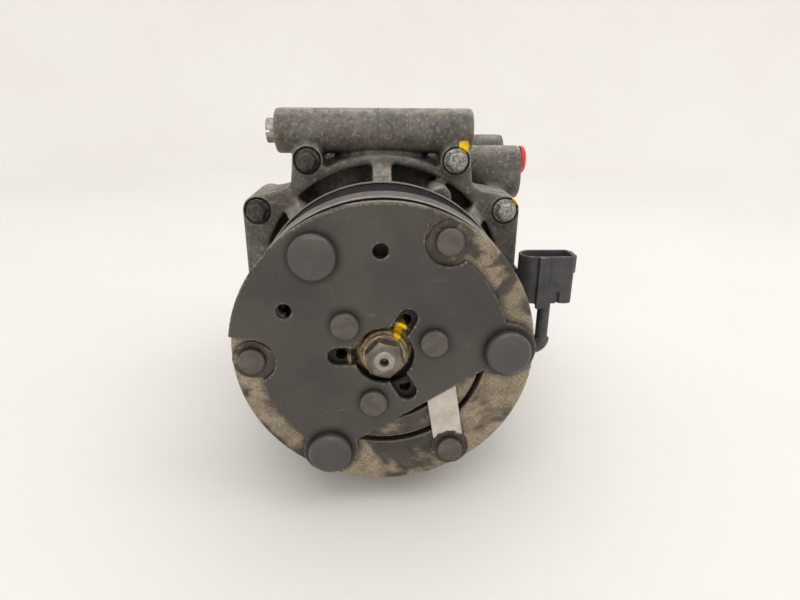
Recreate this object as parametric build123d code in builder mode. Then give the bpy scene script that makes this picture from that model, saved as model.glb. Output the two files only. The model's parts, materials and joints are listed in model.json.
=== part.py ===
from build123d import *
import os
from math import asin, atan2, cos, degrees, hypot, radians, sin

# Automotive air-conditioning compressor: scroll pump, electromagnetic clutch, poly-V pulley.
# Millimetres. +Z is up, the clutch faces -Y, the hose ports and the coil connector are on +X.
# The origin is on the shaft axis, in the plane through the middle of the belt grooves.
# A depth is a Y value: negative in front of the belt plane, positive behind it.

# ---------------------------------------------------------------- driving dimensions

# Clutch, from the front
COVER_FRONT = -38.3
COVER_THICK = 2.0
SPRING_THICK = 0.6
ARMATURE_THICK = 4.8
AIR_GAP = 0.5
COVER_RADIUS = 56.4
COVER_WAIST = 46.0
COVER_CHORD = 24.9
COVER_HOLE = 10.95
ARMATURE_RADIUS = 56.0
ARMATURE_BORE = 28.0
DAMPER_ANGLE = 2.4
DAMPER_CIRCLE = 45.2
DAMPER_RADIUS = 8.45
DAMPER_LOBE = 10.7
OUTER_RIVET_ANGLE = 62.0
OUTER_RIVET_CIRCLE = 48.4
INNER_RIVET_ANGLE = 17.6
INNER_RIVET_CIRCLE = 19.0
RIVET_SHANK = 2.6
PULLER_ANGLE = 60.0
PULLER_CIRCLE = 15.7
PULLER_RADIUS = 2.2
SPRING_WIDTH = 11.4
BALANCE_RADIUS = 2.75
NUT_FRONT = -42.6
NUT_FLANGE = -37.0
SHAFT_FRONT = -43.2

# Pulley and its bearing
PULLEY_RADIUS = 56.0
RIB_CREST = 54.9
GROOVE_COUNT = 6
GROOVE_PITCH = 3.56
GROOVE_DEPTH = 2.8
PULLEY_BACK = 12.3
ROTOR_INNER = 49.5
BEARING_SEAT = 31.0
NOSE_RADIUS = 20.0
BEARING_FRONT = -19.0
BEARING_BACK = 5.0

# Housing
NOSE_FRONT = -22.0
COLLAR_RADIUS = 27.0
COIL_PLATE_FRONT = 8.0
COIL_PLATE_BACK = 10.5
FLANGE_FRONT = 42.5
PARTING = 63.0
SPIGOT_BACK = 70.0
BACK_FACE = 146.0
FLANGE_RADIUS = 63.2
RIM_RADIUS = 66.0
WINDOW_RADIUS = 59.3
SHELL_RADIUS = 57.0
CAVITY_RADIUS = 47.0
CHAMBER_RADIUS = 42.0
BOLT_CIRCLE = 70.0
BOLT_ANGLES = [32.5, 60.5, 119.5, 147.5, 212.5, 240.5, 299.5, 327.5]
BOLT_RADIUS = 3.0
BOLT_END = 76.0
EAR_RADIUS = 7.4
RIB_ANGLES = [90, 137, 38, -2, -62, -90, -118, -150, 180]
TUBE_BORE = 4.2
SLEEVE_RADIUS = 5.7
SLEEVE_LENGTH = 20.0
SLEEVE_PROUD = 4.0
TUBES = {
    "front": {"radius": 10.4, "left": -49.5, "right": 42.8, "y": 52.5, "z": 73.6},
    "rear": {"radius": 9.8, "left": -46.1, "right": 69.0, "y": 105.5, "z": 59.1},
    "lower": {"radius": 9.8, "left": -44.0, "right": 44.0, "y": 105.5, "z": -58.7},
}
SUCTION = {"y": 85.0, "z": 53.9, "boss": 10.7, "start": 24.0, "end": 74.5, "bore": 6.2, "bore_z": 56.9}
SUCTION_FOOT = {"start": 34.0, "z": 47.0}
DISCHARGE = {"y": 124.0, "z": 50.0, "boss": 9.5, "start": 24.0, "end": 66.0, "bore": 5.2, "bore_z": 50.0}
RELIEF = {"y": 124.0, "z": 12.0, "end": -64.0}
OIL = {"y": 90.0, "z": -20.0, "end": -62.0}
CLAMP = {"y": 104.5, "z": 36.0, "boss": 6.5, "start": 42.0, "end": 66.0, "bore": 3.4, "depth": 16.0}

# Shaft and bearings inside the housing
KEY = ((-2.0, -28.0, 5.0), (2.0, -16.0, 9.2))
SEAL_FRONT = -7.0
SEAL_BACK = 5.0
SEAL_RADIUS = 13.0
SHAFT_RADIUS = 8.5
NEEDLE_FRONT = 13.0
NEEDLE_BACK = 29.0
MAIN_BEARING_FRONT = 42.0
MAIN_BEARING_BACK = 57.0
JOURNAL_RADIUS = 12.5
MAIN_SEAT = 26.0
CRANK_BACK = 60.0

# Scroll set
ORBIT = 4.25
INVOLUTE_BASE = 2.8
WRAP_THICK = 4.4
WRAP_START = 4.3
WRAP_END = 12.9
ORBIT_PLATE_FRONT = 71.7
ORBIT_PLATE_BACK = 79.7
ORBIT_PLATE_RADIUS = 42.0
FIXED_PLATE_FRONT = 102.3
FIXED_PLATE_BACK = 112.3
WRAP_GAP = 0.3
PIN_CIRCLE = 33.0
PIN_RADIUS = 2.0
PIN_COUNT = 6
PIN_FRONT = 64.0
PIN_BACK = 75.0
GUIDE_RING_RADIUS = 7.7
GUIDE_RING_BACK = 75.5
BOSS_RADIUS = 15.0
BUSH_RADIUS = 9.5
PIN_BEARING_RADIUS = 12.0

# Coil connector, moulded in one with its stem and elbow
PLUG_X = 74.2
PLUG_Y = 19.7
PLUG_LENGTH = 24.5
PLUG_WIDTH = 13.0
PLUG_TOP = 22.6
PLUG_BOTTOM = 0.4
PLUG_WALL = 1.3
SOCKET_FLOOR = 10.0
SEAL_HEIGHT = 8.0
STEM_X = 75.8
STEM_RADIUS = 2.9
STEM_END = -19.0
LEAD_X = 36.5
LEAD_Z = -23.4

# Worked-out depths and places
COVER_BACK = COVER_FRONT + COVER_THICK
ARMATURE_FRONT = COVER_BACK + SPRING_THICK
ARMATURE_BACK = ARMATURE_FRONT + ARMATURE_THICK
ROTOR_FRONT = ARMATURE_BACK + AIR_GAP
ROTOR_DISC_BACK = ROTOR_FRONT + 5.0


def polar(radius, angle):
    """Point on a circle round the shaft axis, as (x, z)."""
    return (radius * cos(radians(angle)), radius * sin(radians(angle)))


def thirds(radius, angle):
    """Three places a third of a turn apart."""
    return [polar(radius, angle + 120 * k) for k in range(3)]


DAMPER_PLACES = thirds(DAMPER_CIRCLE, DAMPER_ANGLE)
OUTER_RIVET_PLACES = thirds(OUTER_RIVET_CIRCLE, OUTER_RIVET_ANGLE)
INNER_RIVET_PLACES = thirds(INNER_RIVET_CIRCLE, INNER_RIVET_ANGLE)
PULLER_PLACES = thirds(PULLER_CIRCLE, PULLER_ANGLE)
BALANCE_PLACES = [polar(39.7, DAMPER_ANGLE + 120 + side * 30.8) for side in (-1, 1)]
BOLT_PLACES = [polar(BOLT_CIRCLE, angle) for angle in BOLT_ANGLES]
GUIDE_PIN_PLACES = [polar(PIN_CIRCLE, 360 / PIN_COUNT * k) for k in range(PIN_COUNT)]
GUIDE_RING_PLACES = [(x + ORBIT, z) for x, z in GUIDE_PIN_PLACES]
CRANK_PIN = (ORBIT, 0)

os.makedirs("parts", exist_ok=True)

# ---------------------------------------------------------------- shared shapes


def facing(y):
    """Sketch plane at depth y. Its x is +X, its y is +Z, and it extrudes to the front."""
    return Plane.XZ.offset(-y)


def turn(*outline, mode=Mode.ADD):
    """Revolve a closed outline of (radius, depth) points about the shaft axis."""
    with BuildSketch(Plane.XY) as profile:
        with BuildLine():
            Polyline(*outline, close=True)
        make_face()
    revolve(profile.sketch, axis=Axis.Y, mode=mode)


def ring(inner, outer, front, back, mode=Mode.ADD):
    """Plain ring about the shaft axis."""
    turn((inner, front), (outer, front), (outer, back), (inner, back), mode=mode)


def drums(radius, front, back, places=((0, 0),), mode=Mode.ADD):
    """Cylinders parallel to the shaft, at (x, z) places."""
    with BuildSketch(facing(back)) as profile:
        with Locations(*places):
            Circle(radius)
    extrude(profile.sketch, amount=back - front, mode=mode)


def bar(radius, left, right, y, z, mode=Mode.ADD):
    """Cylinder along X."""
    with BuildSketch(Plane.YZ.offset(left)) as profile:
        with Locations((y, z)):
            Circle(radius)
    extrude(profile.sketch, amount=right - left, mode=mode)


def bevelled_bar(radius, left, right, y, z, bevel=0.8):
    """Cylinder along X with bevelled ends."""
    with BuildSketch(Plane(origin=(0, y, z), x_dir=(1, 0, 0), z_dir=(0, 0, 1))) as profile:
        with BuildLine():
            Polyline(
                (left, 0), (left, radius - bevel), (left + bevel, radius),
                (right - bevel, radius), (right, radius - bevel), (right, 0), close=True,
            )
        make_face()
    revolve(profile.sketch, axis=Axis((0, y, z), (1, 0, 0)))


def block(low, high, mode=Mode.ADD):
    """Upright box between two opposite corners."""
    size = [b - a for a, b in zip(low, high)]
    middle = [(a + b) / 2 for a, b in zip(low, high)]
    with Locations(tuple(middle)):
        Box(*size, mode=mode)


def hexes(across_flats, front, back, places=((0, 0),), corner_angle=0):
    """Hexagonal prisms parallel to the shaft, with a corner at that angle from +X."""
    with BuildSketch(facing(back)) as profile:
        with Locations(*places):
            RegularPolygon(across_flats / 2, 6, major_radius=False, rotation=corner_angle)
    extrude(profile.sketch, amount=back - front)


def side_hex(across_flats, left, right, y, z):
    """Hexagonal prism along X."""
    with BuildSketch(Plane.YZ.offset(left)) as profile:
        with Locations((y, z)):
            RegularPolygon(across_flats / 2, 6, major_radius=False)
    extrude(profile.sketch, amount=right - left)


def arc_slots(radius, width, angles, span, front, back):
    """Cut arc-shaped slots through a disc, each centred on one of the angles."""
    with BuildSketch(facing(back)) as profile:
        for angle in angles:
            with BuildLine(mode=Mode.PRIVATE) as middle:
                CenterArc((0, 0), radius, angle - span / 2, span)
            SlotArc(middle.line.edges()[0], width)
    extrude(profile.sketch, amount=back - front, mode=Mode.SUBTRACT)


def save(piece, name):
    """Label a finished piece and write its STEP file."""
    piece.part.label = name
    export_step(piece.part, f"parts/{name}.step")


# ---------------------------------------------------------------- clutch plate, turning with the shaft

with BuildPart() as cover_plate:
    NOTCH_RADIUS = 8.7
    notch_half_angle = degrees(asin(NOTCH_RADIUS / OUTER_RIVET_CIRCLE))
    sector_start = OUTER_RIVET_ANGLE + notch_half_angle
    sector_span = 120 - 2 * notch_half_angle
    chord_angle = OUTER_RIVET_ANGLE + 240
    with BuildSketch(facing(COVER_BACK)) as cover_sketch:
        with BuildLine():
            rim = CenterArc((0, 0), COVER_RADIUS, sector_start, sector_span)
            Polyline(rim @ 1, (0, 0), rim @ 0)
        make_face()
        Circle(COVER_WAIST)
        with Locations(polar(COVER_CHORD + 30, chord_angle)):
            Rectangle(60, 100, rotation=chord_angle, mode=Mode.SUBTRACT)
        with Locations(*DAMPER_PLACES):
            Circle(DAMPER_LOBE)
        with Locations(*OUTER_RIVET_PLACES[:2]):
            Circle(NOTCH_RADIUS, mode=Mode.SUBTRACT)
        Circle(COVER_HOLE, mode=Mode.SUBTRACT)
        for tip in thirds(17.05, PULLER_ANGLE):
            with Locations(tip):
                Circle(3.6, mode=Mode.SUBTRACT)
        for k in range(3):
            with Locations(polar(9.0, PULLER_ANGLE + 120 * k)):
                Rectangle(16.1, 7.2, rotation=PULLER_ANGLE + 120 * k, mode=Mode.SUBTRACT)
        with Locations(*BALANCE_PLACES):
            Circle(BALANCE_RADIUS, mode=Mode.SUBTRACT)
        with Locations(*INNER_RIVET_PLACES):
            Circle(RIVET_SHANK, mode=Mode.SUBTRACT)
        with Locations(*DAMPER_PLACES):
            Circle(5.0, mode=Mode.SUBTRACT)
    extrude(cover_sketch.sketch, amount=COVER_THICK)
save(cover_plate, "cover_plate")

with BuildPart() as inner_rivets:
    drums(5.1, COVER_FRONT - 2.9, COVER_FRONT, INNER_RIVET_PLACES)
    chamfer(edges().filter_by(GeomType.CIRCLE).group_by(Axis.Y)[0], length=0.5)
    drums(RIVET_SHANK, COVER_FRONT, -29.9, INNER_RIVET_PLACES)
    drums(4.2, -31.5, -29.9, INNER_RIVET_PLACES)
save(inner_rivets, "inner_rivets")

with BuildPart() as damper_caps:
    drums(DAMPER_RADIUS, COVER_FRONT - 4.2, COVER_FRONT, DAMPER_PLACES)
    fillet(edges().filter_by(GeomType.CIRCLE).group_by(Axis.Y)[0], radius=2.2)
    drums(6.0, COVER_FRONT - 2.6, COVER_FRONT, DAMPER_PLACES, Mode.SUBTRACT)
save(damper_caps, "damper_caps")

with BuildPart() as rubber_stops:
    drums(6.0, COVER_FRONT - 2.6, COVER_FRONT, DAMPER_PLACES)
    drums(5.0, COVER_FRONT, COVER_BACK, DAMPER_PLACES)
    drums(7.6, COVER_BACK, ARMATURE_FRONT - 0.05, DAMPER_PLACES)
save(rubber_stops, "rubber_stops")

SPRING_INNER_ENDS = INNER_RIVET_PLACES[1:] + INNER_RIVET_PLACES[:1]

with BuildPart() as leaf_springs:
    with BuildSketch(facing(ARMATURE_FRONT)) as spring_sketch:
        for outer_eye, inner_eye in zip(OUTER_RIVET_PLACES, SPRING_INNER_ENDS):
            run = (inner_eye[0] - outer_eye[0], inner_eye[1] - outer_eye[1])
            with Locations((outer_eye[0] + run[0] / 2, outer_eye[1] + run[1] / 2)):
                Rectangle(hypot(*run), SPRING_WIDTH, rotation=degrees(atan2(run[1], run[0])))
        with Locations(*OUTER_RIVET_PLACES):
            Circle(7.3)
        with Locations(*INNER_RIVET_PLACES):
            Circle(6.0)
        with Locations(*OUTER_RIVET_PLACES):
            Circle(RIVET_SHANK + 0.2, mode=Mode.SUBTRACT)
        with Locations(*INNER_RIVET_PLACES):
            Circle(RIVET_SHANK, mode=Mode.SUBTRACT)
        Circle(COVER_HOLE, mode=Mode.SUBTRACT)
    extrude(spring_sketch.sketch, amount=SPRING_THICK)
save(leaf_springs, "leaf_springs")

with BuildPart() as hub:
    turn(
        (7.3, ARMATURE_FRONT), (9.0, ARMATURE_FRONT), (9.0, -32.0), (12.4, -32.0),
        (12.4, ARMATURE_FRONT), (25.0, ARMATURE_FRONT), (25.0, -31.5), (13.5, -31.5),
        (13.5, -10.0), (7.3, -10.0),
    )
    drums(PULLER_RADIUS, ARMATURE_FRONT, -31.5, PULLER_PLACES, Mode.SUBTRACT)
    drums(RIVET_SHANK, ARMATURE_FRONT, -31.5, INNER_RIVET_PLACES, Mode.SUBTRACT)
    block(*KEY, Mode.SUBTRACT)
save(hub, "hub")

with BuildPart() as shaft_key:
    block(*KEY)
save(shaft_key, "shaft_key")

with BuildPart() as shaft_nut:
    hexes(13.0, NUT_FRONT, NUT_FLANGE, corner_angle=45)
    turn(
        (0, NUT_FRONT), (5.7, NUT_FRONT), (7.6, NUT_FRONT + 1.3), (7.6, NUT_FLANGE), (0, NUT_FLANGE),
        mode=Mode.INTERSECT,
    )
    ring(0, 7.9, NUT_FLANGE, ARMATURE_FRONT)
    drums(4.0, NUT_FRONT, ARMATURE_FRONT, mode=Mode.SUBTRACT)
save(shaft_nut, "shaft_nut")

with BuildPart() as air_gap_shims:
    ring(7.35, 10.5, -10.0, -9.5)
    ring(7.35, 10.5, -9.4, -8.9)
save(air_gap_shims, "air_gap_shims")

# ---------------------------------------------------------------- armature

with BuildPart() as armature_plate:
    turn(
        (ARMATURE_BORE, ARMATURE_FRONT), (ARMATURE_RADIUS - 0.5, ARMATURE_FRONT),
        (ARMATURE_RADIUS, ARMATURE_FRONT + 0.5), (ARMATURE_RADIUS, ARMATURE_BACK),
        (ARMATURE_BORE, ARMATURE_BACK),
    )
    slot_angles = [OUTER_RIVET_ANGLE + 120 * k for k in range(3)]
    arc_slots(37.3, 2.2, slot_angles, 100, ARMATURE_FRONT, ARMATURE_BACK)
    drums(RIVET_SHANK, ARMATURE_FRONT, ARMATURE_BACK, OUTER_RIVET_PLACES, Mode.SUBTRACT)
    drums(BALANCE_RADIUS, ARMATURE_FRONT, ARMATURE_BACK, BALANCE_PLACES, Mode.SUBTRACT)
save(armature_plate, "armature_plate")

with BuildPart() as outer_rivets:
    drums(4.9, COVER_BACK - 2.45, COVER_BACK, OUTER_RIVET_PLACES)
    chamfer(edges().filter_by(GeomType.CIRCLE).group_by(Axis.Y)[0], length=0.5)
    drums(RIVET_SHANK, COVER_BACK, ARMATURE_BACK - 0.3, OUTER_RIVET_PLACES)
save(outer_rivets, "outer_rivets")

# ---------------------------------------------------------------- pulley and its bearing


def groove_points():
    """V grooves from front to back along the belt face, as (radius, depth) points."""
    points = []
    for k in range(GROOVE_COUNT):
        middle = (k - (GROOVE_COUNT - 1) / 2) * GROOVE_PITCH
        points.append((RIB_CREST, middle - 1.35))
        points.append((RIB_CREST - GROOVE_DEPTH, middle - 0.35))
        points.append((RIB_CREST - GROOVE_DEPTH, middle + 0.35))
        points.append((RIB_CREST, middle + 1.35))
    return points


with BuildPart() as pulley:
    turn(
        (29.0, ROTOR_FRONT), (54.0, ROTOR_FRONT), (54.4, ROTOR_FRONT + 0.4), (54.4, -23.4),
        (PULLEY_RADIUS - 0.4, -23.4), (PULLEY_RADIUS, -23.0), (PULLEY_RADIUS, -12.3),
        (RIB_CREST, -11.6), *groove_points(), (RIB_CREST, 11.2), (PULLEY_RADIUS, 11.2),
        (PULLEY_RADIUS, PULLEY_BACK), (ROTOR_INNER, PULLEY_BACK), (ROTOR_INNER, ROTOR_DISC_BACK),
        (35.5, ROTOR_DISC_BACK), (35.5, BEARING_BACK), (BEARING_SEAT, BEARING_BACK),
        (BEARING_SEAT, BEARING_FRONT), (29.0, BEARING_FRONT),
    )
    arc_slots(39.0, 1.8, [30 + 120 * k for k in range(3)], 96, ROTOR_FRONT, ROTOR_DISC_BACK)
    arc_slots(46.0, 1.8, [90 + 120 * k for k in range(3)], 100, ROTOR_FRONT, ROTOR_DISC_BACK)
save(pulley, "pulley")


def radial_plane(radius, depth, angle):
    """Plane square to a radius of the shaft."""
    x, z = polar(radius, angle)
    return Plane(origin=(x, depth, z), x_dir=(0, 1, 0), z_dir=(x, 0, z))


def ball_groove(radius, depth, ball_radius):
    """Cut the round track that the balls of one row run in."""
    with BuildSketch(Plane.XY) as track:
        with Locations((radius, depth)):
            Circle(ball_radius)
    revolve(track.sketch, axis=Axis.Y, mode=Mode.SUBTRACT)


def bearing_set(prefix, bore, outside, front, back, row_depths, ball_radius, ball_count, land):
    """Ball bearing as an inner race, an outer race, a set of balls and a cage."""
    middle = (bore + outside) / 2
    inner_land = middle - land
    outer_land = middle + land
    gap = 0.03
    with BuildPart() as inner_race:
        ring(bore, inner_land, front, back)
        for depth in row_depths:
            ball_groove(middle, depth, ball_radius + gap)
    save(inner_race, prefix + "_inner_race")
    with BuildPart() as outer_race:
        ring(outer_land, outside, front, back)
        for depth in row_depths:
            ball_groove(middle, depth, ball_radius + gap)
    save(outer_race, prefix + "_outer_race")
    ball_angles = [360 / ball_count * k for k in range(ball_count)]
    with BuildPart() as balls:
        for depth in row_depths:
            for x, z in [polar(middle, angle) for angle in ball_angles]:
                with Locations((x, depth, z)):
                    Sphere(ball_radius)
    save(balls, prefix + "_balls")
    with BuildPart() as cage:
        for depth in row_depths:
            ring(middle - 0.8, middle + 0.8, depth - ball_radius - 0.9, depth + ball_radius + 0.9)
            pocket_planes = [radial_plane(middle, depth, angle) for angle in ball_angles]
            with BuildSketch(*pocket_planes) as pockets:
                Circle(ball_radius + gap)
            extrude(pockets.sketch, amount=1.5, both=True, mode=Mode.SUBTRACT)
    save(cage, prefix + "_cage")


bearing_set(
    "pulley_bearing", NOSE_RADIUS, BEARING_SEAT, BEARING_FRONT, BEARING_BACK,
    row_depths=(-12.5, -1.5), ball_radius=3.2, ball_count=20, land=1.9,
)

with BuildPart() as pulley_bearing_seals:
    ring(23.7, 27.3, BEARING_FRONT + 0.3, BEARING_FRONT + 1.3)
    ring(23.7, 27.3, BEARING_BACK - 1.3, BEARING_BACK - 0.3)
save(pulley_bearing_seals, "pulley_bearing_seals")


def snap_ring(name, inner, outer, front, back, mouth):
    """Retaining ring with a mouth at the top."""
    with BuildPart() as clip:
        ring(inner, outer, front, back)
        block((-mouth / 2, front, inner - 1), (mouth / 2, back, outer + 1), Mode.SUBTRACT)
    save(clip, name)


snap_ring("nose_snap_ring", 18.8, 22.6, -20.8, BEARING_FRONT, 6.0)
snap_ring("coil_snap_ring", 25.8, 29.6, 6.4, COIL_PLATE_FRONT, 8.0)

# ---------------------------------------------------------------- coil and its connector

with BuildPart() as coil_core:
    turn(
        (36.1, -20.0), (38.3, -20.0), (38.3, 6.0), (46.4, 6.0), (46.4, -20.0), (48.8, -20.0),
        (48.8, COIL_PLATE_BACK), (COLLAR_RADIUS, COIL_PLATE_BACK), (COLLAR_RADIUS, COIL_PLATE_FRONT),
        (36.1, COIL_PLATE_FRONT),
    )
    drums(3.6, 6.0, COIL_PLATE_BACK, [(LEAD_X, LEAD_Z)], Mode.SUBTRACT)
save(coil_core, "coil_core")

with BuildPart() as coil_winding:
    ring(39.0, 45.8, -17.5, 5.4)
save(coil_winding, "coil_winding")

with BuildPart() as coil_potting:
    ring(38.3, 46.4, -20.0, 6.0)
    ring(39.0, 45.8, -17.5, 5.4, Mode.SUBTRACT)
save(coil_potting, "coil_potting")


def plug_outline(z, inset):
    """Rounded-oval outline of the socket at height z, shrunk by an inset all round."""
    with BuildSketch(Plane.XY.offset(z)) as outline:
        with Locations((PLUG_X, PLUG_Y)):
            SlotOverall(PLUG_LENGTH - 2 * inset, PLUG_WIDTH - 2 * inset)
        with Locations((PLUG_X + 5, PLUG_Y)):
            Rectangle(PLUG_LENGTH - 10 - 2 * inset, PLUG_WIDTH - 2 * inset)
        fillet(outline.vertices().group_by(Axis.X)[-1], radius=max(2.5 - inset, 0.8))
    return outline.sketch


with BuildPart() as coil_connector:
    extrude(plug_outline(PLUG_BOTTOM, 0), amount=PLUG_TOP - PLUG_BOTTOM)
    extrude(plug_outline(SOCKET_FLOOR, PLUG_WALL), amount=PLUG_TOP - SOCKET_FLOOR, mode=Mode.SUBTRACT)
    block((69.5, PLUG_Y - 8.2, PLUG_BOTTOM - 2.0), (74.1, PLUG_Y - 6.0, PLUG_TOP))
    block((71.0, PLUG_Y - 6.4, PLUG_BOTTOM - 2.0), (STEM_X, PLUG_Y, PLUG_BOTTOM))
    block((PLUG_X + 11.5, PLUG_Y - 4.0, 14.3), (PLUG_X + 13.2, PLUG_Y + 4.0, PLUG_TOP))
    block((78.8, PLUG_Y - 7.0, PLUG_BOTTOM), (80.2, PLUG_Y - 5.4, PLUG_BOTTOM + 5.4), Mode.SUBTRACT)
    with BuildSketch(Plane.XY.offset(STEM_END - 1.0)) as stem:
        with Locations((STEM_X, PLUG_Y)):
            Circle(STEM_RADIUS)
    extrude(stem.sketch, amount=PLUG_BOTTOM - STEM_END + 1.0)
    with BuildLine(mode=Mode.PRIVATE) as elbow_route:
        FilletPolyline(
            (STEM_X, PLUG_Y, STEM_END), (STEM_X, PLUG_Y, LEAD_Z), (LEAD_X, PLUG_Y, LEAD_Z), radius=4.2,
        )
    elbow_start = Plane(origin=(STEM_X, PLUG_Y, STEM_END), z_dir=(0, 0, -1))
    with BuildSketch(elbow_start) as elbow_section:
        Circle(3.9)
    sweep(elbow_section.sketch, path=elbow_route.line)
    drums(3.55, 6.1, PLUG_Y, [(LEAD_X, LEAD_Z)])
save(coil_connector, "coil_connector")

with BuildPart() as connector_seal:
    extrude(plug_outline(SOCKET_FLOOR, PLUG_WALL), amount=SEAL_HEIGHT)
    extrude(plug_outline(SOCKET_FLOOR, PLUG_WALL + 1.4), amount=SEAL_HEIGHT, mode=Mode.SUBTRACT)
save(connector_seal, "connector_seal")

with BuildPart() as connector_terminals:
    for middle in (PLUG_X - 4, PLUG_X + 4):
        low = (middle - 1.4, PLUG_Y - 0.4, SOCKET_FLOOR)
        high = (middle + 1.4, PLUG_Y + 0.4, SOCKET_FLOOR + SEAL_HEIGHT)
        block(low, high)
save(connector_terminals, "connector_terminals")

BRACKET_THICK = 1.5
BRACKET_SCREW = (57.6, 8.5)
plug_back = PLUG_Y + PLUG_WIDTH / 2

with BuildPart() as connector_bracket:
    block((62.4, plug_back, 4.0), (72.0, plug_back + BRACKET_THICK, 13.0))
    block((62.4, plug_back, 4.0), (62.4 + BRACKET_THICK, FLANGE_FRONT, 13.0))
    block((53.6, FLANGE_FRONT - BRACKET_THICK, 4.0), (62.4 + BRACKET_THICK, FLANGE_FRONT, 13.0))
    drums(2.0, FLANGE_FRONT - BRACKET_THICK, FLANGE_FRONT, [BRACKET_SCREW], Mode.SUBTRACT)
save(connector_bracket, "connector_bracket")

with BuildPart() as bracket_screw:
    hexes(7.0, FLANGE_FRONT - BRACKET_THICK - 3.0, FLANGE_FRONT - BRACKET_THICK, [BRACKET_SCREW])
    drums(2.0, FLANGE_FRONT - BRACKET_THICK, FLANGE_FRONT + 8.0, [BRACKET_SCREW])
save(bracket_screw, "bracket_screw")

# ---------------------------------------------------------------- front housing


def radial_sheet(angle):
    """Plane through the shaft axis. Its x is the radius at that angle, its y is depth."""
    x, z = polar(1, angle)
    return Plane(origin=(0, 0, 0), x_dir=(x, 0, z), z_dir=(-z, 0, x))


def gusset(angle, thick):
    """Rib from the nose cone out to the flange rim, sloping back as it goes out."""
    with BuildSketch(radial_sheet(angle)) as profile:
        with BuildLine():
            Polyline((34, 12), (43, 14.5), (60.6, FLANGE_FRONT + 0.8), (60.6, 57), (34, 57), close=True)
        make_face()
    extrude(profile.sketch, amount=thick / 2, both=True)


def shoulders(front, back):
    """Fill the corner between the two ears of each quarter of the flange."""
    outline = [(34.5, 52.0), (34.5, 60.9), (41.9, 60.9), (43.0, 50.0)]
    outline += [(47.0, 47.2), (59.0, 45.0), (59.0, 34.0)]
    with BuildSketch(facing(back)) as quarters:
        for across in (-1, 1):
            for up in (-1, 1):
                with BuildLine():
                    Polyline(*[(across * x, up * z) for x, z in outline], close=True)
                make_face()
    extrude(quarters.sketch, amount=back - front)


def mounting_tube(tube):
    """Through tube for a mounting bolt, counterbored at its left end for a split sleeve."""
    bevelled_bar(tube["radius"], tube["left"], tube["right"], tube["y"], tube["z"])
    bar(TUBE_BORE, tube["left"], tube["right"], tube["y"], tube["z"], Mode.SUBTRACT)
    bar(SLEEVE_RADIUS, tube["left"], tube["left"] + SLEEVE_LENGTH, tube["y"], tube["z"], Mode.SUBTRACT)


with BuildPart() as front_housing:
    turn(
        (15.0, NOSE_FRONT), (NOSE_RADIUS, NOSE_FRONT), (NOSE_RADIUS, BEARING_BACK),
        (COLLAR_RADIUS, BEARING_BACK), (COLLAR_RADIUS, COIL_PLATE_BACK), (45.5, COIL_PLATE_BACK),
        (45.5, 14.0), (36.0, 18.0), (38.0, 56.0), (WINDOW_RADIUS, 56.0),
        (WINDOW_RADIUS, FLANGE_FRONT + 1.0), (WINDOW_RADIUS + 1.0, FLANGE_FRONT),
        (FLANGE_RADIUS, FLANGE_FRONT), (RIM_RADIUS, 55.0),
        (RIM_RADIUS, PARTING), (CAVITY_RADIUS - 0.1, PARTING), (CAVITY_RADIUS - 0.1, SPIGOT_BACK),
        (28.0, SPIGOT_BACK), (28.0, MAIN_BEARING_BACK), (MAIN_SEAT, MAIN_BEARING_BACK),
        (MAIN_SEAT, MAIN_BEARING_FRONT), (17.0, MAIN_BEARING_FRONT), (17.0, 32.0), (11.5, 32.0),
        (11.5, SEAL_BACK), (SEAL_RADIUS, SEAL_BACK), (SEAL_RADIUS, SEAL_FRONT), (15.0, SEAL_FRONT - 1.5),
    )
    for rib_angle in RIB_ANGLES:
        gusset(rib_angle, 9.0)
    for side in (-1, 1):
        flank = sorted((side * 55.0, side * 66.4))
        block((flank[0], FLANGE_FRONT, -36.0), (flank[1], PARTING, 38.0))
    drums(EAR_RADIUS, FLANGE_FRONT, PARTING, BOLT_PLACES)
    drums(EAR_RADIUS - 0.3, FLANGE_FRONT - 0.9, FLANGE_FRONT, BOLT_PLACES)
    shoulders(FLANGE_FRONT, PARTING)
    drums(5.0, 24.0, 57.0, [polar(53.5, 61)])
    mounting_tube(TUBES["front"])
    drums(BOLT_RADIUS + 0.3, FLANGE_FRONT, PARTING, BOLT_PLACES, Mode.SUBTRACT)
    drums(6.2, FLANGE_FRONT - 0.9, FLANGE_FRONT + 1.0, BOLT_PLACES, Mode.SUBTRACT)
    block((BRACKET_SCREW[0] - 5.0, FLANGE_FRONT, 3.0), (62.0, 52.0, 14.0))
    drums(2.0, FLANGE_FRONT, FLANGE_FRONT + 8.0, [BRACKET_SCREW], Mode.SUBTRACT)
    drums(PIN_RADIUS, PIN_FRONT, SPIGOT_BACK, GUIDE_PIN_PLACES, Mode.SUBTRACT)
    ring(RIM_RADIUS - 10.4, RIM_RADIUS - 8.2, PARTING - 1.7, PARTING, Mode.SUBTRACT)
    ring(18.8, NOSE_RADIUS + 1.0, -20.8, BEARING_FRONT, Mode.SUBTRACT)
    ring(25.8, COLLAR_RADIUS + 1.0, 6.4, COIL_PLATE_FRONT, Mode.SUBTRACT)
    block((28.5, COIL_PLATE_BACK, LEAD_Z - 5.5), (62.0, 25.0, LEAD_Z + 5.5), Mode.SUBTRACT)
save(front_housing, "front_housing")

with BuildPart() as housing_seal:
    ring(RIM_RADIUS - 10.3, RIM_RADIUS - 8.3, PARTING - 1.6, PARTING)
save(housing_seal, "housing_seal")

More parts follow.
